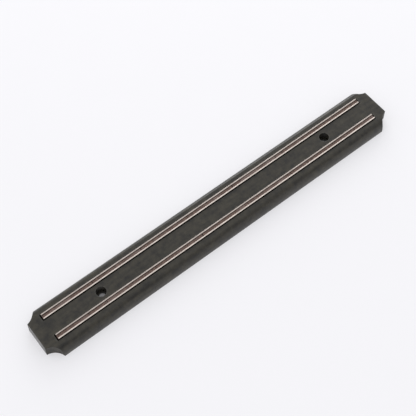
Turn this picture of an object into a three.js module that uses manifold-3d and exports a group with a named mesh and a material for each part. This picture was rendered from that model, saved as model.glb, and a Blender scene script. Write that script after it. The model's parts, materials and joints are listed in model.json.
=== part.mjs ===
// Magnetic knife rack: a black moulded housing with two magnetic rails, lying on its back.
// Units are millimetres. X runs along the rack, Y across it towards its upper edge when it hangs
// on a wall, and Z out of the face that holds the knives. The back lies on Z = 0, centred on 0, 0.

import * as THREE from 'three';
import { mergeVertices } from 'three/addons/utils/BufferGeometryUtils.js';
import Module from 'manifold-3d';

// ---- Driving dimensions: housing ----
const LENGTH = 330;
const WIDTH = 40.8;
const FACE_HEIGHT = 11.4;         // back plane to the flat face
const SIDE_RUN = 5.5;             // how far a long side curves in before it meets the flat face
const BASE_LIP = 0.8;             // upright strip at the foot of a long side
const END_DRAFT = 0.65;           // how far an end wall leans in between the back and the face
const WALL = 2;
const SCALLOP_LENGTH = 9.8;       // how much of a long side a corner scallop takes away
const SCALLOP_WIDTH = 8.7;        // how much of an end wall it takes away, at the back
const SCALLOP_RADIUS = 11.9;
const RIB_THICKNESS = 1.5;
const LARGEST_BAY = 30;           // longest free stretch of the hollow back between two ribs

// ---- Driving dimensions: rails ----
const RAIL_SPACING = 19.15;       // centre line to centre line
const RAIL_END_MARGIN = 12.1;     // end of the housing to the end of a pole plate
const PLATE_THICKNESS = 1;
const PLATE_PROUD = 1.2;          // how far the pole plates stand out of the face
const MAGNET_THICKNESS = 2.5;
const MAGNET_RECESS = 0.8;        // how far the magnets stay below the plates' edges
const MAGNETS_PER_RAIL = 7;
const MAGNET_JOINT = 0.3;         // gap between two magnets in a row
const BOND_GAP = 0.05;            // glue line between two bonded faces
const ADHESIVE_DEPTH = 0.5;
const TROUGH_FLOOR = 1.6;
const TROUGH_WALL = 1.5;
const TROUGH_CLEARANCE = 0.45;    // gap beside the rail in its trough
const TROUGH_END_CLEARANCE = 1;   // gap at each end of the rail in its trough

// ---- Driving dimensions: fixing points ----
const SCREW_SPACING = 216.8;
const RECESS_DIAMETER = 7.8;      // clears the screw's head
const SCREW_HOLE_DIAMETER = 4.8;  // clears the screw's shank
const SEAT_THICKNESS = 2;         // floor that the screw's head pulls on
const BACK_RELIEF = 2.6;          // hollow behind the seat, for the collar of a wall plug
const BOSS_WALL = 2;

// ---- Smoothness of curved faces ----
const SIDE_STEPS = 6;
const ROUND_STEPS = 48;
const SCALLOP_STEPS = 96;

// ---- Values worked out from the dimensions above ----
const railLength = LENGTH - 2 * RAIL_END_MARGIN;
const platePitch = PLATE_THICKNESS + MAGNET_THICKNESS + 2 * BOND_GAP;
const railWidth = platePitch + PLATE_THICKNESS;
const railBottom = TROUGH_FLOOR + ADHESIVE_DEPTH + BOND_GAP;
const plateTop = FACE_HEIGHT + PLATE_PROUD;
const magnetTop = plateTop - MAGNET_RECESS;
const magnetLength = (railLength - (MAGNETS_PER_RAIL - 1) * MAGNET_JOINT) / MAGNETS_PER_RAIL;
const cutMargin = 1;              // how far a cutter runs past the face that it opens

const wasm = await Module();
wasm.setup();

const plastic = { color: 0x3a3a38, roughness: 0.55, metalness: 0 };
const steel = { color: 0xcfcac2, roughness: 0.32, metalness: 1 };
const ferrite = { color: 0x77665f, roughness: 0.8, metalness: 0 };
const glue = { color: 0x8a7a5c, roughness: 0.5, metalness: 0 };

// Box between two opposite corners.
function block(low, high) {
  const size = high.map((value, axis) => value - low[axis]);
  const geometry = new THREE.BoxGeometry(...size);
  geometry.translate(...low.map((value, axis) => value + size[axis] / 2));
  return geometry;
}

// Upright round bar between two heights.
function post(x, y, radius, bottom, top, steps = ROUND_STEPS) {
  const geometry = new THREE.CylinderGeometry(radius, radius, top - bottom, steps);
  geometry.rotateX(Math.PI / 2);
  geometry.translate(x, y, (bottom + top) / 2);
  return geometry;
}

function toSolid(geometry) {
  const bare = geometry.clone();
  bare.deleteAttribute('normal');
  bare.deleteAttribute('uv');
  const merged = mergeVertices(bare);
  return new wasm.Manifold(new wasm.Mesh({
    numProp: 3,
    vertProperties: merged.attributes.position.array,
    triVerts: new Uint32Array(merged.index.array),
  }));
}

function toGeometry(solid) {
  const mesh = solid.getMesh();
  const geometry = new THREE.BufferGeometry();
  geometry.setAttribute('position', new THREE.BufferAttribute(mesh.vertProperties, 3));
  geometry.setIndex(new THREE.BufferAttribute(mesh.triVerts, 1));
  geometry.computeVertexNormals();
  return geometry;
}

function cut(solid, geometries) {
  return geometries.reduce((rest, geometry) => rest.subtract(toSolid(geometry)), solid);
}

// Bar along X whose section is flat at the back and on the face, with both long sides
// rounded as a quarter of an ellipse above an upright lip. The inset moves its sides and its roof
// in. It runs past both ends of the rack, where the draft cutters trim it.
function roundedBar(inset, bottom) {
  const half = WIDTH / 2 - inset;
  const faceHalf = WIDTH / 2 - SIDE_RUN;
  const run = half - faceHalf;
  const rise = FACE_HEIGHT - inset - BASE_LIP;
  const section = new THREE.Shape();
  section.moveTo(-half, bottom);
  section.lineTo(half, bottom);
  section.absellipse(faceHalf, BASE_LIP, run, rise, 0, Math.PI / 2, false);
  section.absellipse(-faceHalf, BASE_LIP, run, rise, Math.PI / 2, Math.PI, false);
  section.closePath();
  const length = LENGTH + 2 * cutMargin;
  const geometry = new THREE.ExtrudeGeometry(section, {
    depth: length,
    bevelEnabled: false,
    curveSegments: SIDE_STEPS,
  });
  geometry.translate(0, 0, -length / 2);
  const alongX = new THREE.Matrix4().makeBasis(
    new THREE.Vector3(0, 1, 0),
    new THREE.Vector3(0, 0, 1),
    new THREE.Vector3(1, 0, 0),
  );
  return geometry.applyMatrix4(alongX);
}

// Four round cutters that scallop the corners. Each is centred outside the corner, so that its
// circle crosses the long side and the end at the back plane where the scallop's sizes say.
function scallopCutters(inset) {
  const chord = Math.hypot(SCALLOP_LENGTH, SCALLOP_WIDTH);
  const centreToChord = Math.sqrt(SCALLOP_RADIUS ** 2 - (chord / 2) ** 2);
  const outsideX = (centreToChord * SCALLOP_WIDTH) / chord - SCALLOP_LENGTH / 2;
  const outsideY = (centreToChord * SCALLOP_LENGTH) / chord - SCALLOP_WIDTH / 2;
  const cutters = [];
  for (const sideX of [-1, 1]) {
    for (const sideY of [-1, 1]) {
      const x = sideX * (LENGTH / 2 + outsideX);
      const y = sideY * (WIDTH / 2 + outsideY);
      const bottom = -2 * cutMargin;
      const top = FACE_HEIGHT + cutMargin;
      cutters.push(post(x, y, SCALLOP_RADIUS + inset, bottom, top, SCALLOP_STEPS));
    }
  }
  return cutters;
}

// Blocks past the end walls, tilted so that each wall leans in by END_DRAFT at the face.
function draftCutters(inset) {
  const angle = Math.atan2(END_DRAFT, FACE_HEIGHT);
  const reach = 2 * FACE_HEIGHT;
  return [-1, 1].map((side) => {
    const nearX = Math.min(0, side * reach);
    const geometry = block([nearX, -WIDTH, -reach], [nearX + reach, WIDTH, reach]);
    geometry.rotateY(-side * angle);
    geometry.translate(side * (LENGTH / 2 - inset), 0, 0);
    return geometry;
  });
}

function scallopedBar(inset, bottom) {
  const cutters = [...scallopCutters(inset), ...draftCutters(inset)];
  return cut(toSolid(roundedBar(inset, bottom)), cutters);
}

const screwPlaces = [-SCREW_SPACING / 2, SCREW_SPACING / 2];
const railSides = [-1, 1];

// Block of housing material that a rail's trough is cut into, and the trough itself.
function troughBlock(side) {
  const halfLength = railLength / 2 + TROUGH_END_CLEARANCE + TROUGH_WALL;
  const halfWidth = railWidth / 2 + TROUGH_CLEARANCE + TROUGH_WALL;
  const y = side * RAIL_SPACING / 2;
  return block([-halfLength, y - halfWidth, -2 * cutMargin], [halfLength, y + halfWidth, FACE_HEIGHT]);
}

function troughCutter(side) {
  const halfLength = railLength / 2 + TROUGH_END_CLEARANCE;
  const halfWidth = railWidth / 2 + TROUGH_CLEARANCE;
  const y = side * RAIL_SPACING / 2;
  const top = FACE_HEIGHT + cutMargin;
  return block([-halfLength, y - halfWidth, TROUGH_FLOOR], [halfLength, y + halfWidth, top]);
}

// Cross ribs. One closes the ends of both troughs at each end of the rack, and the others stand
// between those at an even pitch, as many as keep every bay of the hollow back within LARGEST_BAY.
function ribs() {
  const ribbedLength = railLength + 2 * TROUGH_END_CLEARANCE + TROUGH_WALL;
  const bays = Math.ceil(ribbedLength / LARGEST_BAY);
  const plates = [];
  for (let i = 0; i <= bays; i += 1) {
    const x = -ribbedLength / 2 + (i * ribbedLength) / bays;
    const thickness = i % bays === 0 ? TROUGH_WALL : RIB_THICKNESS;
    const low = [x - thickness / 2, -WIDTH, -2 * cutMargin];
    plates.push(block(low, [x + thickness / 2, WIDTH, FACE_HEIGHT]));
  }
  return plates;
}

function screwBosses() {
  const radius = RECESS_DIAMETER / 2 + BOSS_WALL;
  return screwPlaces.map((x) => post(x, 0, radius, -2 * cutMargin, FACE_HEIGHT));
}

// Stepped hole through a boss: recess for the head, seat with a shank hole, relief at the back.
function screwHole(x) {
  const seatBottom = BACK_RELIEF;
  const seatTop = seatBottom + SEAT_THICKNESS;
  const top = FACE_HEIGHT + cutMargin;
  return [
    post(x, 0, RECESS_DIAMETER / 2, seatTop, top),
    post(x, 0, SCREW_HOLE_DIAMETER / 2, -cutMargin, top),
    post(x, 0, RECESS_DIAMETER / 2, -cutMargin, seatBottom),
  ];
}

// Moulded shell: open at the back, with troughs, bosses and ribs left standing in the hollow.
function housing() {
  const kept = [...railSides.map(troughBlock), ...screwBosses(), ...ribs()];
  const hollow = cut(scallopedBar(WALL, -cutMargin), kept);
  const shell = scallopedBar(0, 0).subtract(hollow);
  return toGeometry(cut(shell, [...railSides.map(troughCutter), ...screwPlaces.flatMap(screwHole)]));
}

function polePlate(y) {
  const half = PLATE_THICKNESS / 2;
  return block([-railLength / 2, y - half, railBottom], [railLength / 2, y + half, plateTop]);
}

function magnet(y, index) {
  const x = -railLength / 2 + index * (magnetLength + MAGNET_JOINT);
  const half = MAGNET_THICKNESS / 2;
  return block([x, y - half, railBottom], [x + magnetLength, y + half, magnetTop]);
}

function adhesiveBed(y) {
  const low = [-railLength / 2, y - railWidth / 2, TROUGH_FLOOR];
  return block(low, [railLength / 2, y + railWidth / 2, TROUGH_FLOOR + ADHESIVE_DEPTH]);
}

const rack = new THREE.Group();

function addPiece(name, geometry, finish) {
  const mesh = new THREE.Mesh(geometry, new THREE.MeshStandardMaterial(finish));
  mesh.name = name;
  rack.add(mesh);
}

function addRail(name, side) {
  const y = side * RAIL_SPACING / 2;
  const toPlate = platePitch / 2;
  addPiece(`${name}_outer_plate`, polePlate(y + side * toPlate), steel);
  addPiece(`${name}_inner_plate`, polePlate(y - side * toPlate), steel);
  for (let i = 0; i < MAGNETS_PER_RAIL; i += 1) {
    addPiece(`${name}_magnet_${i + 1}`, magnet(y, i), ferrite);
  }
  addPiece(`${name}_adhesive`, adhesiveBed(y), glue);
}

addPiece('housing', housing(), plastic);
addRail('upper_rail', 1);
addRail('lower_rail', -1);

export default rack;
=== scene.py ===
"""Magnetic knife rack: the finished looks of a moulded wall rack with two magnetic rails.

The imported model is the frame. Each maker's operator builds one piece, or one group of like
pieces, as a finer mesh in the place of its plain solid. Lengths are in metres: X runs along the
rack, Y across it, and Z out of the face that holds the knives. The back lies on Z = 0.
"""

import json
import math
from types import SimpleNamespace

import bmesh
import bpy
import numpy as np
from bpy.props import FloatProperty, FloatVectorProperty, IntProperty, PointerProperty
from mathutils import Matrix, Vector
from mathutils.geometry import tessellate_polygon


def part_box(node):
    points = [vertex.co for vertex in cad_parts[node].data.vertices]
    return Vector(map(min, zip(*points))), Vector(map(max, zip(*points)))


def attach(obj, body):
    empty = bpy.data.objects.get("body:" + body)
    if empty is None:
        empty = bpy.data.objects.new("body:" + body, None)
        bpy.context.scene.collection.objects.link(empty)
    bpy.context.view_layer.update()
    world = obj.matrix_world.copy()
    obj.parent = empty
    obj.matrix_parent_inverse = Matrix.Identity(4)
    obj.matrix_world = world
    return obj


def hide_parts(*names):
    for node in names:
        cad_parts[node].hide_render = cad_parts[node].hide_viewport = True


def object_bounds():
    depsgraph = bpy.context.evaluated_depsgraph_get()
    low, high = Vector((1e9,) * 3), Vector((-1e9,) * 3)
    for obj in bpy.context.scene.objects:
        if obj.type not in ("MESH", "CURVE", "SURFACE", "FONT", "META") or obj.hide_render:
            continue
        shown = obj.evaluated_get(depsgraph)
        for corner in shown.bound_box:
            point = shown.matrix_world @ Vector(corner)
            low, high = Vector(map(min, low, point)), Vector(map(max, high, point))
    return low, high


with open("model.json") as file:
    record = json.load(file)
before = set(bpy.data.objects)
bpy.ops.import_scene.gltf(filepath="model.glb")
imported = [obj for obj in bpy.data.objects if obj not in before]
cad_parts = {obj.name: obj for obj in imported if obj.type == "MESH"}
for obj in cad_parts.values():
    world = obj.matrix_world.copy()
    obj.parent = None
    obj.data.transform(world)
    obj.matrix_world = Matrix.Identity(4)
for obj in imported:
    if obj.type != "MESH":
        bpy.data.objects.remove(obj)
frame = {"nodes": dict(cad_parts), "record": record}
CAD_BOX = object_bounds()

bl_info = {
    "name": "Magnetic knife rack",
    "version": (1, 0, 0),
    "blender": (4, 5, 0),
    "location": "View3D > Sidebar > Knife rack",
    "description": "Builds a magnetic knife rack piece by piece round its packed frame",
    "category": "Add Mesh",
}

MM = 0.001
BODY = "root"
RAILS = ("upper_rail", "lower_rail")
WELD_DISTANCE = 0.0005 * MM
SHARP_ANGLE = math.radians(35)

# Fine shape of the housing
SQUARE_MARGIN = 2.3 * MM      # from a screw recess to the square that the grid leaves for it
RING_MARGIN = 1.1 * MM        # from a screw recess to the first full circle round it
SEAT_FILLET = 0.2 * MM
HOLE_EDGE_BREAK = 0.15 * MM
POCKET_EDGE_BREAK = 0.3 * MM
RUBBED_WIDTH = 0.5 * MM       # how far rubbing reaches from an edge
SCALLOP_FADE = 0.4 * MM       # how far the rougher finish of a scallop's wall fades out

# Fine shape of the rails
BAR_CORNER_STEPS = 4
PLATE_STATION_PITCH = 2 * MM
PLATE_WANDER = 0.03 * MM
MAGNET_STATION_PITCH = 0.7 * MM
ADHESIVE_STATION_PITCH = 1.5 * MM
ADHESIVE_WAVE = 0.05 * MM

# Fixed tones
WORN_PLASTIC = (0.10, 0.10, 0.095)
PLATE_DIRT = (0.22, 0.17, 0.13)
# Painted shade: the dark steel tone that each rail's far plate is blended towards.
PAINTED_SHADE_STEEL = (0.10, 0.085, 0.08)
MAGNET_DUST = (0.36, 0.30, 0.28)
FLOOR_GLOW_TINT = (1.0, 0.995, 1.02, 1)
SKY_TINT = (0.995, 0.99, 1.01, 1)

# Stage
FLOOR_HALF = 8.0
FLOOR_DROP = 0.02 * MM        # keeps the sheet clear of the rack's back
# Painted shade: the floor's glow is cut down in a box under the rack.
COVERED_GLOW = 0.25           # share of the floor's glow that is left under the rack
COVERED_LENGTH = (0.150, 0.155)
COVERED_WIDTH = (0.012, 0.017)
BACK_LIGHT_PLACE = (0.8, 1.0, 0.45)
BACK_LIGHT_SIZE = (1.3, 0.8)
SKY_UP = (0, 0.6, 0.9)        # direction in which the surroundings grow brighter
SKY_FADE = (-0.3, 0.66)       # where along that direction they start and stop doing so


# ---- Settings that a user would change ----

class RackHousingSettings(bpy.types.PropertyGroup):
    """Sizes of the moulded housing that the frame's boxes don't give."""

    side_run: FloatProperty(
        name="Side run", description="How far a long side curves in before it meets the face",
        default=5.5 * MM, min=1 * MM, unit="LENGTH", precision=5)
    base_lip: FloatProperty(
        name="Base lip", description="Height of the upright strip at the foot of a long side",
        default=0.8 * MM, min=0.1 * MM, unit="LENGTH", precision=5)
    end_draft: FloatProperty(
        name="End draft", description="How far an end wall leans in between the back and the face",
        default=0.65 * MM, min=0, unit="LENGTH", precision=5)
    wall: FloatProperty(
        name="Wall", description="Thickness of the moulded wall",
        default=2 * MM, min=0.5 * MM, unit="LENGTH", precision=5)
    scallop_length: FloatProperty(
        name="Scallop length", description="Length that a corner scallop takes off a long side",
        default=9.8 * MM, min=1 * MM, unit="LENGTH", precision=5)
    scallop_width: FloatProperty(
        name="Scallop width", description="Length that a corner scallop takes off an end",
        default=8.7 * MM, min=1 * MM, unit="LENGTH", precision=5)
    scallop_radius: FloatProperty(
        name="Scallop radius", description="Radius of a corner scallop",
        default=11.9 * MM, min=1 * MM, unit="LENGTH", precision=5)
    edge_radius: FloatProperty(
        name="Edge radius", description="Rounding between the face and the end walls",
        default=0.45 * MM, min=0.05 * MM, unit="LENGTH", precision=5)
    mouth_radius: FloatProperty(
        name="Mouth radius", description="Rounding of the edges of troughs and screw recesses",
        default=0.22 * MM, min=0.02 * MM, unit="LENGTH", precision=5)
    trough_clearance: FloatProperty(
        name="Trough clearance", description="Gap beside a rail in its trough",
        default=0.45 * MM, min=0, unit="LENGTH", precision=5)
    trough_end_clearance: FloatProperty(
        name="Trough end clearance", description="Gap at each end of a rail in its trough",
        default=1 * MM, min=0, unit="LENGTH", precision=5)
    trough_wall: FloatProperty(
        name="Trough wall", description="Thickness of the walls that hold a rail",
        default=1.5 * MM, min=0.5 * MM, unit="LENGTH", precision=5)
    rib_thickness: FloatProperty(
        name="Rib thickness", description="Thickness of a cross rib in the hollow back",
        default=1.5 * MM, min=0.5 * MM, unit="LENGTH", precision=5)
    bays: IntProperty(
        name="Bays", description="Number of bays between the ribs in the hollow back",
        default=11, min=1)
    screw_spacing: FloatProperty(
        name="Screw spacing", description="Distance between the two screw holes",
        default=216.8 * MM, min=50 * MM, unit="LENGTH", precision=5)
    recess_diameter: FloatProperty(
        name="Recess diameter", description="Diameter of the recess for a screw's head",
        default=7.8 * MM, min=3 * MM, unit="LENGTH", precision=5)
    shank_diameter: FloatProperty(
        name="Shank hole diameter", description="Diameter of the hole for a screw's shank",
        default=4.8 * MM, min=1 * MM, unit="LENGTH", precision=5)
    seat_thickness: FloatProperty(
        name="Seat thickness", description="Thickness of the floor under a screw's head",
        default=2 * MM, min=0.5 * MM, unit="LENGTH", precision=5)
    boss_wall: FloatProperty(
        name="Boss wall", description="Thickness of the wall round a screw recess",
        default=2 * MM, min=0.5 * MM, unit="LENGTH", precision=5)


class RackRailSettings(bpy.types.PropertyGroup):
    """Edge finish of the pieces in a rail."""

    plate_edge: FloatProperty(
        name="Plate edge radius", description="Rounding of a pole plate's edges",
        default=0.14 * MM, min=0.01 * MM, unit="LENGTH", precision=5)
    # Painted shade: how far each rail's far plate is darkened towards a dark steel tone.
    far_plate_painted_shade: FloatProperty(
        name="Far plate painted shade", description="How much painted shade darkens each rail's far plate",
        default=0.3, min=0, max=1)
    magnet_edge: FloatProperty(
        name="Magnet edge radius", description="Rounding of a magnet's edges",
        default=0.2 * MM, min=0.01 * MM, unit="LENGTH", precision=5)
    magnet_chipping: FloatProperty(
        name="Magnet chipping", description="Depth of the unevenness of a magnet's upper edge",
        default=0.12 * MM, min=0, unit="LENGTH", precision=5)
    glue_edge: FloatProperty(
        name="Adhesive edge radius", description="Rounding of the adhesive bed's edges",
        default=0.15 * MM, min=0.01 * MM, unit="LENGTH", precision=5)


class RackFinishSettings(bpy.types.PropertyGroup):
    """Colours of the rack's materials."""

    plastic_dark: FloatVectorProperty(
        name="Plastic, dark", description="Darker tone of the moulded plastic",
        subtype="COLOR", default=(0.001, 0.0008, 0.0003), min=0, max=1)
    plastic_light: FloatVectorProperty(
        name="Plastic, light", description="Lighter tone of the moulded plastic",
        subtype="COLOR", default=(0.037, 0.0325, 0.0200), min=0, max=1)
    steel: FloatVectorProperty(
        name="Steel", description="Colour of the pole plates",
        subtype="COLOR", default=(0.67, 0.600, 0.540), min=0, max=1)
    # Painted shade: a dark tone put on the plates' sides, where they stand in their troughs.
    plate_side_shade: FloatVectorProperty(
        name="Plate side shade", description="Painted shade down the pole plates' sides",
        subtype="COLOR", default=(0.10, 0.09, 0.085), min=0, max=1)
    ferrite_dark: FloatVectorProperty(
        name="Ferrite, dark", description="Darker tone of the magnets",
        subtype="COLOR", default=(0.060, 0.037, 0.029), min=0, max=1)
    ferrite_light: FloatVectorProperty(
        name="Ferrite, light", description="Lighter tone of the magnets",
        subtype="COLOR", default=(0.185, 0.120, 0.097), min=0, max=1)
    adhesive: FloatVectorProperty(
        name="Adhesive", description="Colour of the cured adhesive",
        subtype="COLOR", default=(0.34, 0.25, 0.12), min=0, max=1)
    floor: FloatVectorProperty(
        name="Floor", description="Colour of the floor",
        subtype="COLOR", default=(0.41, 0.41, 0.42), min=0, max=1)


class RackStageSettings(bpy.types.PropertyGroup):
    """Where the camera and the lights stand."""

    azimuth: FloatProperty(
        name="Azimuth", description="Camera's turn about the rack, from the front",
        default=math.radians(-37.825), subtype="ANGLE")
    elevation: FloatProperty(
        name="Elevation", description="Camera's height above the floor",
        default=math.radians(60.959), subtype="ANGLE")
    roll: FloatProperty(
        name="Roll", description="Camera's turn about its own line of sight",
        default=math.radians(-0.385), subtype="ANGLE")
    distance: FloatProperty(
        name="Distance", description="Camera's distance from the point that it looks at",
        default=695.47 * MM, min=0.1, unit="LENGTH")
    target_x: FloatProperty(
        name="Target X", description="Point that the camera looks at, along the rack",
        default=-0.58 * MM, unit="LENGTH", precision=5)
    target_y: FloatProperty(
        name="Target Y", description="Point that the camera looks at, across the rack",
        default=11.47 * MM, unit="LENGTH", precision=5)
    lens: FloatProperty(
        name="Lens", description="Focal length of the camera, in millimetres on a 36 mm sensor",
        default=77.26, min=10)
    back_power: FloatProperty(
        name="Back light", description="Power of the wide soft light behind the rack, in watts",
        default=8, min=0)
    sky: FloatProperty(
        name="Sky", description="Brightness of the surroundings overhead and behind",
        default=1.05, min=0)
    room: FloatProperty(
        name="Room", description="Brightness of the surroundings low down in front",
        default=0.7, min=0)
    floor_glow: FloatProperty(
        name="Floor glow", description="Light that the floor gives off by itself",
        default=0.465, min=0)


# ---- Meshes worked out as whole arrays ----

def spread(fixed, filler, gap):
    """All fixed values, and each filler value that keeps the gap to every fixed one, in order."""
    fixed = np.unique(np.round(fixed, 9))
    filler = np.asarray(filler, float)
    clear = np.abs(filler[:, None] - fixed[None, :]).min(axis=1) > gap
    return np.unique(np.concatenate([fixed, filler[clear]]))


def mirrored(values):
    """The values and their negatives, in order."""
    return np.unique(np.concatenate([-values, values]))


def quarter(steps):
    """Angles from nought to a quarter turn."""
    return np.linspace(0, math.pi / 2, steps + 1)


def rim(block):
    """Edge entries of a grid, once round, anticlockwise from its first corner."""
    return np.concatenate([block[:, 0], block[-1, 1:], block[-2::-1, -1], block[0, -2:0:-1]])


def points_of(x, y, z):
    """Three arrays of any shape that fit each other, as one array of points."""
    return np.stack(np.broadcast_arrays(x, y, z), axis=-1)


def grid_patch(points, keep=None, flip=False):
    """Quads between neighbours in a grid of points. keep marks the cells that are filled."""
    rows, columns = points.shape[:2]
    index = np.arange(rows * columns).reshape(rows, columns)
    quads = np.stack([index[:-1, :-1], index[1:, :-1], index[1:, 1:], index[:-1, 1:]], axis=-1)
    quads = quads.reshape(-1, 4) if keep is None else quads[keep]
    if flip:
        quads = quads[:, ::-1]
    return points.reshape(-1, 3), quads.tolist()


def tube_patch(rings):
    """Quads between closed rings of as many points each, from the first ring to the last.

    Where rings run anticlockwise seen from above and go downwards, faces point inwards."""
    count, around = rings.shape[:2]
    index = np.arange(count * around).reshape(count, around)
    ahead = np.roll(index, -1, axis=1)
    quads = np.stack([index[:-1], ahead[:-1], ahead[1:], index[1:]], axis=-1)
    return rings.reshape(-1, 3), quads.reshape(-1, 4).tolist()


def moved_out(ring, distance):
    """A flat ring whose sides all move outwards by the distance, with mitred corners."""
    ahead = np.roll(ring, -1, axis=0) - ring
    ahead = ahead / np.linalg.norm(ahead, axis=1, keepdims=True)
    normal = np.stack([ahead[:, 1], -ahead[:, 0]], axis=1)
    before = np.roll(normal, 1, axis=0)
    shared = 1 + (normal * before).sum(axis=1, keepdims=True)
    return ring + distance * (normal + before) / shared


def flat_patch(rings, height, facing_up):
    """Triangles at one height that fill the first ring and leave the other rings open."""
    loops = [[Vector((x, y, 0)) for x, y in ring.tolist()] for ring in rings]
    flat = np.concatenate(rings)
    triangles = np.array(tessellate_polygon(loops))
    a, b, c = (flat[triangles[:, corner]] for corner in range(3))
    area = (b[:, 0] - a[:, 0]) * (c[:, 1] - a[:, 1]) - (b[:, 1] - a[:, 1]) * (c[:, 0] - a[:, 0])
    wrong = (area > 0) != facing_up
    triangles[wrong] = triangles[wrong][:, ::-1]
    return points_of(flat[:, 0], flat[:, 1], height), triangles.tolist()


def weld_patches(name, patches):
    """One mesh of all patches, with the points that they share merged."""
    points, faces, start = [], [], 0
    for patch_points, patch_faces in patches:
        points.append(patch_points)
        faces += [[start + corner for corner in face] for face in patch_faces]
        start += len(patch_points)
    mesh = bpy.data.meshes.new(name)
    mesh.from_pydata(np.concatenate(points).tolist(), [], faces)
    work = bmesh.new()
    work.from_mesh(mesh)
    bmesh.ops.remove_doubles(work, verts=work.verts, dist=WELD_DISTANCE)
    work.to_mesh(mesh)
    work.free()
    mesh.validate()
    mesh.shade_smooth()
    mesh.set_sharp_from_angle(angle=SHARP_ANGLE)
    return mesh


def set_attribute(mesh, name, values):
    """Store one number per vertex, for the material to read."""
    attribute = mesh.attributes.new(name, "FLOAT", "POINT")
    attribute.data.foreach_set("value", np.asarray(values, np.float32))


def mesh_points(mesh):
    """A mesh's points as one array."""
    flat = np.empty(len(mesh.vertices) * 3)
    mesh.vertices.foreach_get("co", flat)
    return flat.reshape(-1, 3)


def place_piece(name, mesh, material, slot, *nodes):
    """Links a finished mesh as a piece that rides on the rack and stands for its nodes."""
    piece = bpy.data.objects.new(name, mesh)
    bpy.context.scene.collection.objects.link(piece)
    mesh.materials.append(material)
    even = piece.modifiers.new("even shading", "WEIGHTED_NORMAL")
    even.keep_sharp = True
    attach(piece, BODY)
    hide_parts(*nodes)


# ---- Housing ----

def housing_plan(settings):
    """Every size of the housing, from its settings and the frame's boxes."""
    low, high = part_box("housing")
    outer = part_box("upper_rail_outer_plate")[1]
    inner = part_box("upper_rail_inner_plate")[0]
    half_length, half_width = high.x, high.y
    length, width = settings.scallop_length, settings.scallop_width
    chord = math.hypot(length, width)
    centre_to_chord = math.sqrt(settings.scallop_radius ** 2 - (chord / 2) ** 2)
    clearance = settings.trough_clearance
    return SimpleNamespace(
        half_length=half_length,
        half_width=half_width,
        height=high.z,
        face_half=half_width - settings.side_run,
        run=settings.side_run,
        lip=settings.base_lip,
        wall=settings.wall,
        scallop_radius=settings.scallop_radius,
        scallop_x=half_length + centre_to_chord * width / chord - length / 2,
        scallop_y=half_width + centre_to_chord * length / chord - width / 2,
        draft=settings.end_draft,
        edge=settings.edge_radius,
        mouth=settings.mouth_radius,
        trough_x=outer.x + settings.trough_end_clearance,
        trough_low=inner.y - clearance,
        trough_high=outer.y + clearance,
        trough_floor=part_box("upper_rail_adhesive")[0].z,
        trough_wall=settings.trough_wall,
        rib=settings.rib_thickness,
        bays=settings.bays,
        screw_x=settings.screw_spacing / 2,
        recess=settings.recess_diameter / 2,
        shank=settings.shank_diameter / 2,
        boss=settings.recess_diameter / 2 + settings.boss_wall,
        seat_top=frame_mount("left_screw_seat").z,
        seat=settings.seat_thickness,
    )


def frame_mount(name):
    """Place of one of the record's mounts."""
    mounts = {mount["name"]: mount for mount in frame["record"]["mounts"]}
    return Vector(mounts[name]["pos_m"])


def surface_height(y, plan, inset=0.0):
    """Height of the rounded bar across its width, with its walls moved in by the inset.

    It is the face's height out to the flat face's edge, and from there a quarter of an ellipse:
    lip + rise * sqrt(1 - t * t), where t goes from 0 at that edge to 1 at the side."""
    run = plan.run - inset
    rise = plan.height - inset - plan.lip
    share = np.clip((np.abs(y) - plan.face_half) / run, 0, 1)
    return plan.lip + rise * np.sqrt(1 - share ** 2)


def end_wall(plan, inset, z):
    """Distance from the rack's middle to an end wall, which leans in as it rises."""
    return plan.half_length - inset - plan.draft * z / plan.height


def corner_width(plan, inset, z):
    """Distance from the middle line to the corner where the end wall meets a scallop."""
    reach = plan.scallop_radius + inset
    across = plan.scallop_x - end_wall(plan, inset, z)
    return plan.scallop_y - math.sqrt(reach ** 2 - across ** 2)


def end_reach(y, plan, inset, z):
    """Half length of the outline at y and z, moved in by the inset.

    It is the end wall, or the scallop's circle where that cuts in further."""
    reach = plan.scallop_radius + inset
    down = plan.scallop_y - np.abs(y)
    circle = plan.scallop_x - np.sqrt(np.clip(reach ** 2 - down ** 2, 0, None))
    wall = end_wall(plan, inset, z)
    return np.where(down < reach, np.minimum(wall, circle), wall)


def rounding(distance, radius):
    """Drop of a rounded edge at a distance from its wall: r - sqrt(r^2 - (r - d)^2)."""
    left = np.clip(radius - distance, 0, radius)
    return radius - np.sqrt(radius ** 2 - left ** 2)


def mouth_steps(plan):
    """Distances from a mouth's wall where its rounding is sampled."""
    return plan.mouth * (1 - np.sin(quarter(3)))


def trough_distance(x, y, plan):
    """Plan distance from a point to the nearest trough's mouth."""
    past_end = np.maximum(np.abs(x) - plan.trough_x, 0)
    beside = np.maximum(plan.trough_low - np.abs(y), np.abs(y) - plan.trough_high)
    return np.hypot(past_end, np.maximum(beside, 0))


def housing_rows(plan, hole_square):
    """Y of the grid's rows, dense where the outline or the surface curves."""
    corner = corner_width(plan, plan.edge, plan.height)
    reach = plan.scallop_radius + plan.edge
    steepest = math.asin((plan.scallop_y - corner) / reach)
    flattest = math.asin((plan.scallop_y - plan.face_half) / reach)
    scallop = plan.scallop_y - reach * np.sin(np.linspace(steepest, flattest, 14))
    side = plan.face_half + plan.run * np.sin(quarter(26))
    fixed = np.concatenate([
        np.linspace(0, hole_square, 9),
        plan.trough_low - mouth_steps(plan),
        plan.trough_high + mouth_steps(plan),
        [corner],
        side,
    ])
    filler = np.concatenate([scallop, [(plan.trough_low + plan.trough_high) / 2]])
    return mirrored(spread(fixed, filler, 0.04 * MM))


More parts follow.
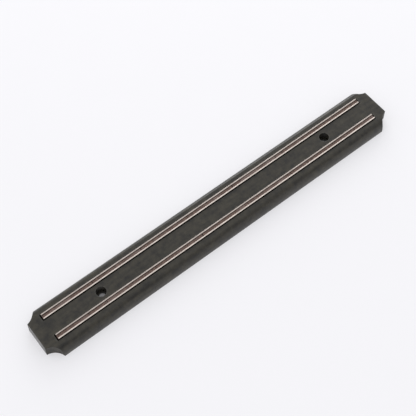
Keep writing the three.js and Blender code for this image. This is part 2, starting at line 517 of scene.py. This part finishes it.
def housing_stations(plan, hole_square):
    """X of the grid's stations between the ends of the troughs."""
    fixed = np.concatenate([
        plan.screw_x + np.linspace(-hole_square, hole_square, 17),
        plan.trough_x + mouth_steps(plan),
    ])
    even = np.linspace(0, plan.trough_x, 40)
    outside_square = np.abs(even - plan.screw_x) > hole_square
    return mirrored(spread(fixed, even[outside_square], 1 * MM))


def slid_rows(rows, start, end, limit):
    """The rows moved so that those at the start come to the end, while the limits stay put."""
    return np.sign(rows) * np.interp(np.abs(rows), [0, start, limit], [0, end, limit])


def outline_edge(rows, plan, inset, z):
    """X and Y of one end's outline at an inset and a height, with a row on its corner."""
    start, end = corner_width(plan, plan.edge, plan.height), corner_width(plan, inset, z)
    y = slid_rows(rows, start, end, plan.half_width)
    return end_reach(y, plan, inset, z), y


def end_block(rows, plan, start):
    """Plan of one end past the troughs: straight rows out to the inset outline, and then the
    rounded edge, whose lines follow the outline at ever smaller insets."""
    reach = end_reach(rows, plan, plan.edge, plan.height)
    share = np.linspace(0, 1, 8)[1:, None]
    x = start + share * (reach - start)
    y = np.broadcast_to(rows, x.shape)
    drop = np.zeros_like(x)
    insets = plan.edge * (1 - np.sin(quarter(5)))[1:]
    lines = [outline_edge(rows, plan, inset, plan.height) for inset in insets]
    edge_x, edge_y = (np.stack(part) for part in zip(*lines))
    edge_drop = np.broadcast_to(rounding(insets, plan.edge)[:, None], edge_x.shape)
    pairs = ((x, edge_x), (y, edge_y), (drop, edge_drop))
    return tuple(np.concatenate(pair) for pair in pairs)


def between(values, low, high):
    """Marks the gaps between neighbouring values whose middle lies within the limits."""
    middle = (values[:-1] + values[1:]) / 2
    return (middle > low) & (middle < high)


def housing_top(plan):
    """The outer skin from above as one height field over the outline, with its openings."""
    hole_square = plan.recess + SQUARE_MARGIN
    rows = housing_rows(plan, hole_square)
    stations = housing_stations(plan, hole_square)
    end_x, end_y, end_drop = end_block(rows, plan, stations[-1])
    middle_x, middle_y = np.meshgrid(stations, rows, indexing="ij")
    x = np.concatenate([-end_x[::-1], middle_x, end_x])
    y = np.concatenate([end_y[::-1], middle_y, end_y])
    drop = np.concatenate([end_drop[::-1], np.zeros_like(middle_x), end_drop])
    z = surface_height(y, plan) - drop - rounding(trough_distance(x, y, plan), plan.mouth)
    top = points_of(x, y, z)
    first = len(end_x)
    keep = np.ones((len(x) - 1, len(rows) - 1), bool)
    patches = []
    for side in (-1, 1):
        across = np.flatnonzero(between(side * rows, plan.trough_low, plan.trough_high))
        along = first + np.flatnonzero(between(stations, -plan.trough_x, plan.trough_x))
        keep[along[0]:along[-1] + 1, across[0]:across[-1] + 1] = False
        block = top[along[0]:along[-1] + 2, across[0]:across[-1] + 2]
        patches += trough_patches(block, plan)
    holes = []
    for centre in (-plan.screw_x, plan.screw_x):
        across = np.flatnonzero(between(rows, -hole_square, hole_square))
        square = between(stations - centre, -hole_square, hole_square)
        along = first + np.flatnonzero(square)
        keep[along[0]:along[-1] + 1, across[0]:across[-1] + 1] = False
        block = top[along[0]:along[-1] + 2, across[0]:across[-1] + 2]
        rings = screw_hole_rings(rim(block), centre, plan)
        patches.append(tube_patch(rings))
        holes.append(rings[-1][:, :2])
    foot = top * [1, 1, 0]
    foot_x, foot_y = outline_edge(rows, plan, 0, 0)
    foot[0, :, :2] = np.stack([-foot_x, foot_y], axis=-1)
    foot[-1, :, :2] = np.stack([foot_x, foot_y], axis=-1)
    foot = rim(foot)
    patches += [grid_patch(top, keep), tube_patch(np.stack([foot, rim(top)]))]
    return patches, foot[:, :2], holes


def trough_patches(block, plan):
    """Walls and floor of a trough under the part of the grid that it opens."""
    floor = block.copy()
    floor[..., 2] = plan.trough_floor
    return [tube_patch(np.stack([rim(block), rim(floor)])), grid_patch(floor)]


def screw_hole_rings(square, centre, plan):
    """Rings of a stepped hole, from a square in the face to the back.

    Each ring is a circle about the hole's axis, with its points at even angles from the
    square's first corner, and a pair (radius, height) for each step of the hole."""
    bend = quarter(4)
    back = plan.seat_top - plan.seat
    mouth_radius = plan.recess + plan.mouth * (1 - np.sin(bend))
    mouth_height = plan.height - plan.mouth * (1 - np.cos(bend))
    steps = [
        (plan.recess + RING_MARGIN, plan.height),
        *zip(mouth_radius, mouth_height),
        (plan.recess, plan.seat_top + SEAT_FILLET),
        (plan.recess - SEAT_FILLET, plan.seat_top),
        (plan.shank + HOLE_EDGE_BREAK, plan.seat_top),
        (plan.shank, plan.seat_top - HOLE_EDGE_BREAK),
        (plan.shank, back),
        (plan.recess, back),
        (plan.recess, HOLE_EDGE_BREAK),
        (plan.recess + HOLE_EDGE_BREAK, 0),
    ]
    radius, height = (np.array(column)[:, None] for column in zip(*steps))
    angle = math.radians(225) + np.arange(len(square)) * math.tau / len(square)
    circles = points_of(centre + radius * np.cos(angle), radius * np.sin(angle), height)
    return np.concatenate([square[None], circles])


def pocket(roof_plan, mouth_plan, plan):
    """A pocket in the hollow back between two grids in plan: its roof, walls and broken edge.

    The roof follows the outer surface one wall thickness below it."""
    x, y = roof_plan
    roof = points_of(x, y, surface_height(y, plan, plan.wall))
    wall = rim(np.stack(mouth_plan, axis=-1))
    rings = []
    for turn in quarter(3):
        ring = moved_out(wall, POCKET_EDGE_BREAK * (1 - math.cos(turn)))
        height = POCKET_EDGE_BREAK * (1 - math.sin(turn))
        rings.append(points_of(ring[:, 0], ring[:, 1], height))
    rings = np.stack([rim(roof), *rings])
    return [grid_patch(roof, flip=True), tube_patch(rings)], rings[-1][:, :2]


def pocket_plans(plan):
    """Roof and mouth in plan of all pockets: bays of the middle and side lanes, and both ends."""
    lane = plan.trough_low - plan.trough_wall
    side_start = plan.trough_high + plan.trough_wall
    side_run = plan.run - plan.wall
    middle = np.linspace(-lane, lane, 13)
    bend = plan.face_half + side_run * np.sin(quarter(10))
    side = np.concatenate([[side_start], bend])
    ribbed = plan.trough_x + plan.trough_wall / 2
    ribs = np.linspace(-ribbed, ribbed, plan.bays + 1)
    thickness = np.full(plan.bays + 1, plan.rib)
    thickness[[0, -1]] = plan.trough_wall
    starts = ribs[:-1] + thickness[:-1] / 2
    ends = ribs[1:] - thickness[1:] / 2
    share = np.linspace(0, 1, 9)[:, None]
    grids = []
    for start, end in zip(starts, ends):
        for low, high in middle_lane_parts(start, end, middle, plan):
            grids.append(stretched(low, high, middle, share))
        for rows in (side, -side[::-1]):
            even = np.ones_like(rows)
            grids.append(stretched(start * even, end * even, rows, share))
    past_ribs = ribs[-1] + thickness[-1] / 2
    return [(grid, grid) for grid in grids] + end_pocket_plans(past_ribs, plan, share)


def stretched(start, end, rows, share):
    """A grid in plan between two lines of X, one at each row's start and one at its end."""
    x = start + share * (end - start)
    return x, np.broadcast_to(rows, x.shape)


def end_pocket_plans(start, plan, share):
    """Roof and mouth in plan of the pockets past the last ribs, whose end walls lean in too."""
    roof = plan.height - plan.wall
    corner, mouth_corner = (corner_width(plan, plan.wall, z) for z in (roof, 0))
    reach = plan.scallop_radius + plan.wall
    crossing = plan.scallop_y - math.sqrt(reach ** 2 - (plan.scallop_x - start) ** 2)
    widest = crossing - 0.05 * MM
    turns = [math.asin((plan.scallop_y - width) / reach) for width in (corner, widest)]
    scallop = plan.scallop_y - reach * np.sin(np.linspace(*turns, 12))
    rows = mirrored(np.concatenate([np.linspace(0, corner, 7), scallop]))
    mouth_rows = slid_rows(rows, corner, mouth_corner, widest)
    plans = []
    for turn in (-1, 1):
        pair = []
        for line, z in ((rows, roof), (mouth_rows, 0)):
            x, y = stretched(start, end_reach(line, plan, plan.wall, z), line, share)
            pair.append((turn * x[::turn], y))
        plans.append(tuple(pair))
    return plans


def middle_lane_parts(start, end, rows, plan):
    """Start and end of each pocket in one bay of the middle lane, at each row.

    A screw boss splits a bay in two, and each part ends on the boss's circle."""
    even = np.ones_like(rows)
    bulge = np.sqrt(plan.boss ** 2 - rows ** 2)
    for centre in (-plan.screw_x, plan.screw_x):
        if start < centre < end:
            return [(start * even, centre - bulge), (centre + bulge, end * even)]
    return [(start * even, end * even)]


def edge_wear(points, plan):
    """How near each point lies to an edge that hands and knives rub, from 0 to 1."""
    x, y, z = points.T
    ends = np.abs(end_reach(y, plan, 0, z) - np.abs(x))
    mouths = trough_distance(x, y, plan)
    screws = np.abs(np.hypot(np.abs(x) - plan.screw_x, y) - plan.recess)
    near = np.minimum(np.minimum(ends, mouths), screws)
    start, full = 0.75 * plan.height, 0.95 * plan.height
    upper = np.clip((z - start) / (full - start), 0, 1)
    return upper * np.exp(-(near / RUBBED_WIDTH) ** 2)


def scallop_share(points, plan):
    """How far each point belongs to a scallop's wall: 1 on it, fading to 0 near it."""
    x, y, _ = points.T
    away = np.hypot(np.abs(x) - plan.scallop_x, np.abs(y) - plan.scallop_y) - plan.scallop_radius
    return np.clip(1 - away / SCALLOP_FADE, 0, 1)


def housing_mesh(plan):
    """The whole moulding: outer skin, troughs, screw holes, back plane and pockets."""
    patches, foot, openings = housing_top(plan)
    for roof_plan, mouth_plan in pocket_plans(plan):
        pocket_patches, mouth = pocket(roof_plan, mouth_plan, plan)
        patches += pocket_patches
        openings.append(mouth)
    patches.append(flat_patch([foot, *openings], 0.0, facing_up=False))
    mesh = weld_patches("rack_housing", patches)
    set_attribute(mesh, "wear", edge_wear(mesh_points(mesh), plan))
    set_attribute(mesh, "scallop", scallop_share(mesh_points(mesh), plan))
    return mesh


# ---- Rails ----

def bar_rings(low, high, radius, stations):
    """Rings of a bar along X with all its edges rounded.

    The section is a rectangle in Y and Z with round corners, carried from one end to the other.
    At each end it shrinks by r * (1 - sin a) while it moves out by r * (1 - cos a)."""
    bend = quarter(BAR_CORNER_STEPS)
    turn = np.concatenate([math.pi / 2 * corner + bend for corner in range(4)])
    corner_y = np.repeat([1, -1, -1, 1], len(bend))
    corner_z = np.repeat([1, 1, -1, -1], len(bend))
    middle = (np.array(low) + np.array(high)) / 2
    half = (np.array(high) - np.array(low)) / 2
    shrink = radius * (1 - np.sin(bend))
    back = radius * (1 - np.cos(bend))
    along = np.concatenate([low[0] + back, stations, high[0] - back[::-1]])
    inset = np.concatenate([shrink, np.zeros(len(stations)), shrink[::-1]])[:, None]
    core_y, core_z = half[1] - radius, half[2] - radius
    y = middle[1] + corner_y * core_y + (radius - inset) * np.cos(turn)
    z = middle[2] + corner_z * core_z + (radius - inset) * np.sin(turn)
    return points_of(along[:, None], y, z)


def bar_mesh(name, rings):
    """Closed bar through its rings, with a flat face at each end."""
    points, quads = tube_patch(rings)
    around = rings.shape[1]
    first = list(range(around))
    last = [len(points) - around + corner for corner in first]
    sides = [face[::-1] for face in quads]
    return weld_patches(name, [(points, sides), (points, [first[::-1], last])])


def bar_stations(low, high, radius, pitch):
    """Even stations along a bar, clear of its rounded ends."""
    count = max(2, int((high[0] - low[0]) / pitch))
    return np.linspace(low[0] + radius, high[0] - radius, count + 1)[1:-1]


def ripple(x, y, seed):
    """Smooth unevenness between -1 and 1: a mean of sines of unrelated lengths."""
    turns = np.array([0.9, 2.3, 5.1, 11.7]) / (10 * MM)
    phase = seed * np.array([1.7, 3.1, 4.3, 5.9])
    waves = np.sin(x[..., None] * turns + y[..., None] * 3 * turns + phase)
    return waves.mean(axis=-1)


def plate_mesh(name, node, settings, seed):
    """A sheared steel strip whose upper edge wanders by a few hundredths of a millimetre."""
    low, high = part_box(node)
    radius = settings.plate_edge
    stations = bar_stations(low, high, radius, PLATE_STATION_PITCH)
    rings = bar_rings(low, high, radius, stations)
    upper = np.clip(1 - (high.z - rings[..., 2]) / (2 * MM), 0, 1)
    wander = 1 + ripple(rings[..., 0], np.zeros_like(upper), seed)
    rings[..., 2] -= upper * PLATE_WANDER * wander
    mesh = bar_mesh(name, rings)
    height = mesh_points(mesh)[:, 2]
    # ground is 1 on a plate's top and falls to 0 down its sides, which take a dark tone as painted
    # shade.
    ground = np.clip((height - high.z + 2 * PLATE_WANDER + radius) / radius, 0, 1)
    set_attribute(mesh, "ground", ground)
    # Painted shade: the far plate of each rail is marked to be darkened.
    far = node in ("upper_rail_outer_plate", "lower_rail_inner_plate")
    set_attribute(mesh, "far_plate_shade", np.full(len(ground), settings.far_plate_painted_shade * far))
    return mesh


def magnet_mesh(name, node, settings, seed):
    """A pressed ferrite block whose upper edges are chipped and uneven."""
    low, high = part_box(node)
    radius = settings.magnet_edge
    stations = bar_stations(low, high, radius, MAGNET_STATION_PITCH)
    rings = bar_rings(low, high, radius, stations)
    upper = np.clip(1 - (high.z - rings[..., 2]) / (1 * MM), 0, 1)
    rough = np.abs(ripple(4 * rings[..., 0], 2 * rings[..., 1], seed))
    rings[..., 2] -= upper * settings.magnet_chipping * rough
    return bar_mesh(name, rings)


def adhesive_mesh(name, node, settings, seed):
    """A bed of cured adhesive with a slightly wavy upper surface."""
    low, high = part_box(node)
    radius = settings.glue_edge
    stations = bar_stations(low, high, radius, ADHESIVE_STATION_PITCH)
    rings = bar_rings(low, high, radius, stations)
    upper = rings[..., 2] > (low.z + high.z) / 2
    wave = 1 + ripple(rings[..., 0], rings[..., 1], seed)
    rings[..., 2] -= upper * ADHESIVE_WAVE * wave
    return bar_mesh(name, rings)


# ---- Materials ----

class Nodes:
    """Short names for adding and joining the nodes of one material."""

    def __init__(self, name):
        self.material = bpy.data.materials.new(name)
        self.material.use_nodes = True
        self.tree = self.material.node_tree
        self.shader = self.tree.nodes["Principled BSDF"]
        self.place = self.tree.nodes.new("ShaderNodeTexCoord").outputs["Object"]

    def link(self, output, socket):
        self.tree.links.new(output, socket)

    def stretch(self, scale):
        node = self.tree.nodes.new("ShaderNodeMapping")
        node.inputs["Scale"].default_value = scale
        self.link(self.place, node.inputs["Vector"])
        return node.outputs["Vector"]

    def split(self):
        node = self.tree.nodes.new("ShaderNodeSeparateXYZ")
        self.link(self.place, node.inputs["Vector"])
        return node.outputs

    def noise(self, scale, detail=2.0, place=None, roughness=0.5):
        node = self.tree.nodes.new("ShaderNodeTexNoise")
        node.inputs["Scale"].default_value = scale
        node.inputs["Detail"].default_value = detail
        node.inputs["Roughness"].default_value = roughness
        self.link(place or self.place, node.inputs["Vector"])
        return node.outputs["Fac"]

    def cells(self, scale, place=None):
        node = self.tree.nodes.new("ShaderNodeTexVoronoi")
        node.inputs["Scale"].default_value = scale
        self.link(place or self.place, node.inputs["Vector"])
        return node.outputs["Distance"]

    def span(self, value, low, high, start=0.0, end=1.0):
        node = self.tree.nodes.new("ShaderNodeMapRange")
        limits = {"From Min": start, "From Max": end, "To Min": low, "To Max": high}
        for name, number in limits.items():
            node.inputs[name].default_value = number
        self.link(value, node.inputs["Value"])
        return node.outputs["Result"]

    def maths(self, operation, first, second):
        node = self.tree.nodes.new("ShaderNodeMath")
        node.operation = operation
        for socket, value in zip(node.inputs, (first, second)):
            if isinstance(value, (int, float)):
                socket.default_value = value
            else:
                self.link(value, socket)
        return node.outputs["Value"]

    def blend(self, share, first, second):
        node = self.tree.nodes.new("ShaderNodeMix")
        node.data_type = "RGBA"
        self.link(share, node.inputs["Factor"])
        for socket, value in ((node.inputs[6], first), (node.inputs[7], second)):
            if isinstance(value, bpy.types.NodeSocket):
                self.link(value, socket)
            else:
                socket.default_value = (*value, 1)
        return node.outputs[2]

    def attribute(self, name):
        node = self.tree.nodes.new("ShaderNodeAttribute")
        node.attribute_name = name
        return node.outputs["Fac"]

    def bump(self, height, distance, strength=1.0, below=None):
        node = self.tree.nodes.new("ShaderNodeBump")
        node.inputs["Distance"].default_value = distance
        node.inputs["Strength"].default_value = strength
        self.link(height, node.inputs["Height"])
        if below is not None:
            self.link(below, node.inputs["Normal"])
        return node.outputs["Normal"]

    def finish(self, colour, roughness, normal, metallic=0.0, specular=0.5):
        self.link(colour, self.shader.inputs["Base Color"])
        self.link(roughness, self.shader.inputs["Roughness"])
        self.link(normal, self.shader.inputs["Normal"])
        self.shader.inputs["Metallic"].default_value = metallic
        self.shader.inputs["Specular IOR Level"].default_value = specular
        return self.material


def moulded_plastic(colours):
    """Black satin moulding: fine eroded grain, cloudy gloss, flow marks and rubbed edges."""
    nodes = Nodes("moulded_plastic")
    clouds = nodes.noise(230, 4, roughness=0.6)
    flow = nodes.noise(1, 2, nodes.stretch((25, 420, 420)))
    tone = nodes.maths(
        "ADD", nodes.span(clouds, 0, 0.7, 0.3, 0.7), nodes.span(flow, 0, 0.3, 0.3, 0.7))
    colour = nodes.blend(tone, colours.plastic_dark, colours.plastic_light)
    rubs = nodes.span(nodes.noise(900, 2), 0.1, 0.9, 0.35, 0.65)
    wear = nodes.maths("MULTIPLY", nodes.attribute("wear"), rubs)
    colour = nodes.blend(nodes.maths("MULTIPLY", wear, 0.35), colour, WORN_PLASTIC)
    gloss = nodes.span(nodes.noise(260, 3), 0.26, 0.36, 0.3, 0.7)
    roughness = nodes.maths("ADD", gloss, nodes.maths("MULTIPLY", nodes.attribute("scallop"), 0.3))
    sinks = nodes.bump(clouds, 0.06 * MM, 0.6)
    grain = nodes.bump(nodes.noise(2600, 3, roughness=0.65), 0.008 * MM, 0.6, sinks)
    pits = nodes.bump(nodes.cells(1700), 0.006 * MM, 0.5, grain)
    return nodes.finish(colour, roughness, pits, specular=0.44)


def sheared_steel(colours):
    """Bright sheared steel: long fine scratches, patchy gloss and a few dull specks, with painted
    shade on each rail's far plate and down the plates' sides.
    """
    nodes = Nodes("sheared_steel")
    long_marks = nodes.noise(1, 4, nodes.stretch((90, 5200, 5200)), 0.6)
    patches = nodes.noise(160, 3)
    specks = nodes.span(nodes.cells(700), 1, 0, 0.04, 0.16)
    bright = tuple(min(1, channel * 1.08) for channel in colours.steel)
    dull = tuple(channel * 0.80 for channel in colours.steel)
    colour = nodes.blend(nodes.span(patches, 0, 1, 0.3, 0.7), bright, dull)
    dirt = nodes.maths("MULTIPLY", specks, nodes.span(patches, 0, 0.5, 0.45, 0.7))
    colour = nodes.blend(dirt, colour, PLATE_DIRT)
    # Painted shade: the far plates are blended towards a dark steel tone.
    colour = nodes.blend(nodes.attribute("far_plate_shade"), colour, PAINTED_SHADE_STEEL)
    # Painted shade: a plate's sides below its top take a dark tone.
    colour = nodes.blend(nodes.attribute("ground"), colours.plate_side_shade, colour)
    gloss = nodes.span(long_marks, 0.24, 0.42, 0.3, 0.7)
    roughness = nodes.maths("ADD", gloss, nodes.maths("MULTIPLY", dirt, 0.3))
    scratches = nodes.bump(long_marks, 0.008 * MM, 0.6)
    return nodes.finish(colour, roughness, scratches, metallic=1.0)


def pressed_ferrite(colours):
    """Matt mauve-brown ferrite: mottled, with fine pits and paler dusty patches."""
    nodes = Nodes("pressed_ferrite")
    mottle = nodes.noise(420, 4, roughness=0.65)
    tone = nodes.span(mottle, 0, 1, 0.32, 0.68)
    colour = nodes.blend(tone, colours.ferrite_dark, colours.ferrite_light)
    dust = nodes.span(nodes.noise(55, 3), 0, 0.35, 0.5, 0.75)
    colour = nodes.blend(dust, colour, MAGNET_DUST)
    roughness = nodes.span(mottle, 0.72, 0.9, 0.3, 0.7)
    grain = nodes.bump(nodes.noise(3000, 3), 0.03 * MM, 0.8)
    pits = nodes.bump(nodes.span(nodes.cells(1100), 0, 1, 0.05, 0.3), 0.04 * MM, 0.7, grain)
    return nodes.finish(colour, roughness, pits)


def cured_adhesive(colours):
    """Amber cured adhesive with small bubbles."""
    nodes = Nodes("cured_adhesive")
    clouds = nodes.noise(300, 3)
    pale = tuple(min(1, channel * 1.35) for channel in colours.adhesive)
    colour = nodes.blend(nodes.span(clouds, 0, 1, 0.3, 0.7), colours.adhesive, pale)
    roughness = nodes.span(clouds, 0.3, 0.5, 0.3, 0.7)
    bubbles = nodes.bump(nodes.span(nodes.cells(900), 0, 1, 0.02, 0.25), 0.03 * MM, 0.6)
    return nodes.finish(colour, roughness, bubbles)


def pale_floor(colours, glow):
    """Plain matt sheet with a faint glow of its own, which is cut down under the rack as painted
    shade.
    """
    nodes = Nodes("pale_floor")
    along, across, _ = nodes.split()
    # Painted shade: the glow is weaker in a box under the rack.
    covered = nodes.maths(
        "MULTIPLY",
        nodes.span(nodes.maths("ABSOLUTE", along, 0), 1, 0, *COVERED_LENGTH),
        nodes.span(nodes.maths("ABSOLUTE", across, 0), 1, 0, *COVERED_WIDTH))
    strength = nodes.span(covered, glow, COVERED_GLOW * glow)
    nodes.link(strength, nodes.shader.inputs["Emission Strength"])
    nodes.shader.inputs["Emission Color"].default_value = FLOOR_GLOW_TINT
    soft = tuple(channel * 0.985 for channel in colours.floor)
    colour = nodes.blend(nodes.noise(6, 2), colours.floor, soft)
    roughness = nodes.span(nodes.noise(40, 2), 0.75, 0.85)
    return nodes.finish(colour, roughness, nodes.bump(nodes.noise(900, 2), 0.01 * MM, 0.3))


# ---- Stage ----

def make_floor(material):
    """A wide flat sheet just under the rack's back."""
    lines = np.linspace(-FLOOR_HALF, FLOOR_HALF, 5)
    x, y = np.meshgrid(lines, lines, indexing="ij")
    mesh = weld_patches("floor", [grid_patch(points_of(x, y, CAD_BOX[0][2] - FLOOR_DROP))])
    mesh.materials.append(material)
    floor = bpy.data.objects.new("floor", mesh)
    bpy.context.scene.collection.objects.link(floor)


def make_softbox(name, place, size, power):
    """An area light that faces the rack's middle."""
    light = bpy.data.lights.new(name, "AREA")
    light.shape = "RECTANGLE"
    light.size, light.size_y = size
    light.energy = power
    lamp = bpy.data.objects.new(name, light)
    bpy.context.scene.collection.objects.link(lamp)
    lamp.location = place
    lamp.rotation_euler = (-Vector(place)).to_track_quat("-Z", "Y").to_euler()


def make_sky(sky, room):
    """Surroundings that are bright overhead and behind, and dimmer low down in front."""
    world = bpy.data.worlds.new("studio")
    world.use_nodes = True
    tree = world.node_tree
    background = tree.nodes["Background"]
    background.inputs["Color"].default_value = SKY_TINT
    direction = tree.nodes.new("ShaderNodeTexCoord")
    rise = tree.nodes.new("ShaderNodeVectorMath")
    rise.operation = "DOT_PRODUCT"
    rise.inputs[1].default_value = SKY_UP
    tree.links.new(direction.outputs["Generated"], rise.inputs[0])
    fade = tree.nodes.new("ShaderNodeMapRange")
    for name, number in zip(("From Min", "From Max", "To Min", "To Max"), (*SKY_FADE, room, sky)):
        fade.inputs[name].default_value = number
    tree.links.new(rise.outputs["Value"], fade.inputs["Value"])
    tree.links.new(fade.outputs["Result"], background.inputs["Strength"])
    bpy.context.scene.world = world


def make_camera(stage):
    """A camera that looks at a point on the floor from an azimuth, an elevation and a distance."""
    turn, rise = stage.azimuth, stage.elevation
    level_part = math.cos(rise)
    back = Vector((math.sin(turn) * level_part, -math.cos(turn) * level_part, math.sin(rise)))
    right = Vector((0, 0, 1)).cross(back).normalized()
    up = back.cross(right)
    level = Matrix((right, up, back)).transposed()
    camera = bpy.data.objects.new("camera", bpy.data.cameras.new("camera"))
    bpy.context.scene.collection.objects.link(camera)
    target = Vector((stage.target_x, stage.target_y, 0))
    pose = level @ Matrix.Rotation(stage.roll, 3, "Z")
    camera.matrix_world = Matrix.Translation(target + back * stage.distance) @ pose.to_4x4()
    camera.data.lens = stage.lens
    camera.data.sensor_width = 36
    camera.data.clip_start = 10 * MM
    bpy.context.scene.camera = camera


# ---- Operators ----

class RACK_OT_housing(bpy.types.Operator):
    """Build the moulded housing"""

    bl_idname = "rack.make_housing"
    bl_label = "Moulded housing"

    def execute(self, context):
        plan = housing_plan(context.scene.rack_housing)
        material = moulded_plastic(context.scene.rack_finish)
        place_piece("rack_housing", housing_mesh(plan), material, "housing_plastic", "housing")
        return {"FINISHED"}


class RACK_OT_pole_plates(bpy.types.Operator):
    """Build the four steel pole plates"""

    bl_idname = "rack.make_pole_plates"
    bl_label = "Pole plates"

    def execute(self, context):
        material = sheared_steel(context.scene.rack_finish)
        nodes = [f"{rail}_{place}_plate" for rail in RAILS for place in ("outer", "inner")]
        for seed, node in enumerate(nodes, 1):
            name = f"steel_{node}"
            mesh = plate_mesh(name, node, context.scene.rack_rails, seed)
            place_piece(name, mesh, material, "pole_steel", node)
        return {"FINISHED"}


class RACK_OT_magnets(bpy.types.Operator):
    """Build the rows of ferrite magnets"""

    bl_idname = "rack.make_magnets"
    bl_label = "Magnets"

    def execute(self, context):
        material = pressed_ferrite(context.scene.rack_finish)
        nodes = sorted(node for node in frame["nodes"] if "_magnet_" in node)
        for seed, node in enumerate(nodes, 1):
            name = f"ferrite_{node}"
            mesh = magnet_mesh(name, node, context.scene.rack_rails, seed)
            place_piece(name, mesh, material, "ferrite", node)
        return {"FINISHED"}


class RACK_OT_adhesive(bpy.types.Operator):
    """Build the beds of adhesive under the rails"""

    bl_idname = "rack.make_adhesive"
    bl_label = "Adhesive beds"

    def execute(self, context):
        material = cured_adhesive(context.scene.rack_finish)
        for seed, rail in enumerate(RAILS, 1):
            name = f"bed_{rail}_adhesive"
            mesh = adhesive_mesh(name, f"{rail}_adhesive", context.scene.rack_rails, seed)
            place_piece(name, mesh, material, "adhesive", f"{rail}_adhesive")
        return {"FINISHED"}


class RACK_OT_stage(bpy.types.Operator):
    """Build the floor, the lights and the camera"""

    bl_idname = "rack.make_stage"
    bl_label = "Stage"

    def execute(self, context):
        stage = context.scene.rack_stage
        make_floor(pale_floor(context.scene.rack_finish, stage.floor_glow))
        make_softbox("back", BACK_LIGHT_PLACE, BACK_LIGHT_SIZE, stage.back_power)
        make_sky(stage.sky, stage.room)
        make_camera(stage)
        context.scene.view_settings.view_transform = "Standard"
        return {"FINISHED"}


MAKERS = (
    RACK_OT_stage,
    RACK_OT_housing,
    RACK_OT_pole_plates,
    RACK_OT_magnets,
    RACK_OT_adhesive,
)


class RACK_PT_panel(bpy.types.Panel):
    """Lists the rack's makers and settings"""

    bl_label = "Knife rack"
    bl_idname = "RACK_PT_panel"
    bl_space_type = "VIEW_3D"
    bl_region_type = "UI"
    bl_category = "Knife rack"

    def draw(self, context):
        for maker in MAKERS:
            self.layout.operator(maker.bl_idname)
        for owner in SETTINGS:
            box = self.layout.box()
            group = getattr(context.scene, owner)
            for name in group.bl_rna.properties.keys():
                if name not in ("rna_type", "name"):
                    box.prop(group, name)


SETTINGS = {
    "rack_housing": RackHousingSettings,
    "rack_rails": RackRailSettings,
    "rack_finish": RackFinishSettings,
    "rack_stage": RackStageSettings,
}
CLASSES = (*SETTINGS.values(), *MAKERS, RACK_PT_panel)


def register():
    for cls in CLASSES:
        bpy.utils.register_class(cls)
    for owner, group in SETTINGS.items():
        setattr(bpy.types.Scene, owner, PointerProperty(type=group))


def unregister():
    for owner in SETTINGS:
        delattr(bpy.types.Scene, owner)
    for cls in reversed(CLASSES):
        bpy.utils.unregister_class(cls)


def main():
    register()
    bpy.ops.rack.make_stage()
    bpy.ops.rack.make_housing()
    bpy.ops.rack.make_pole_plates()
    bpy.ops.rack.make_magnets()
    bpy.ops.rack.make_adhesive()


if __name__ == "__main__":
    main()
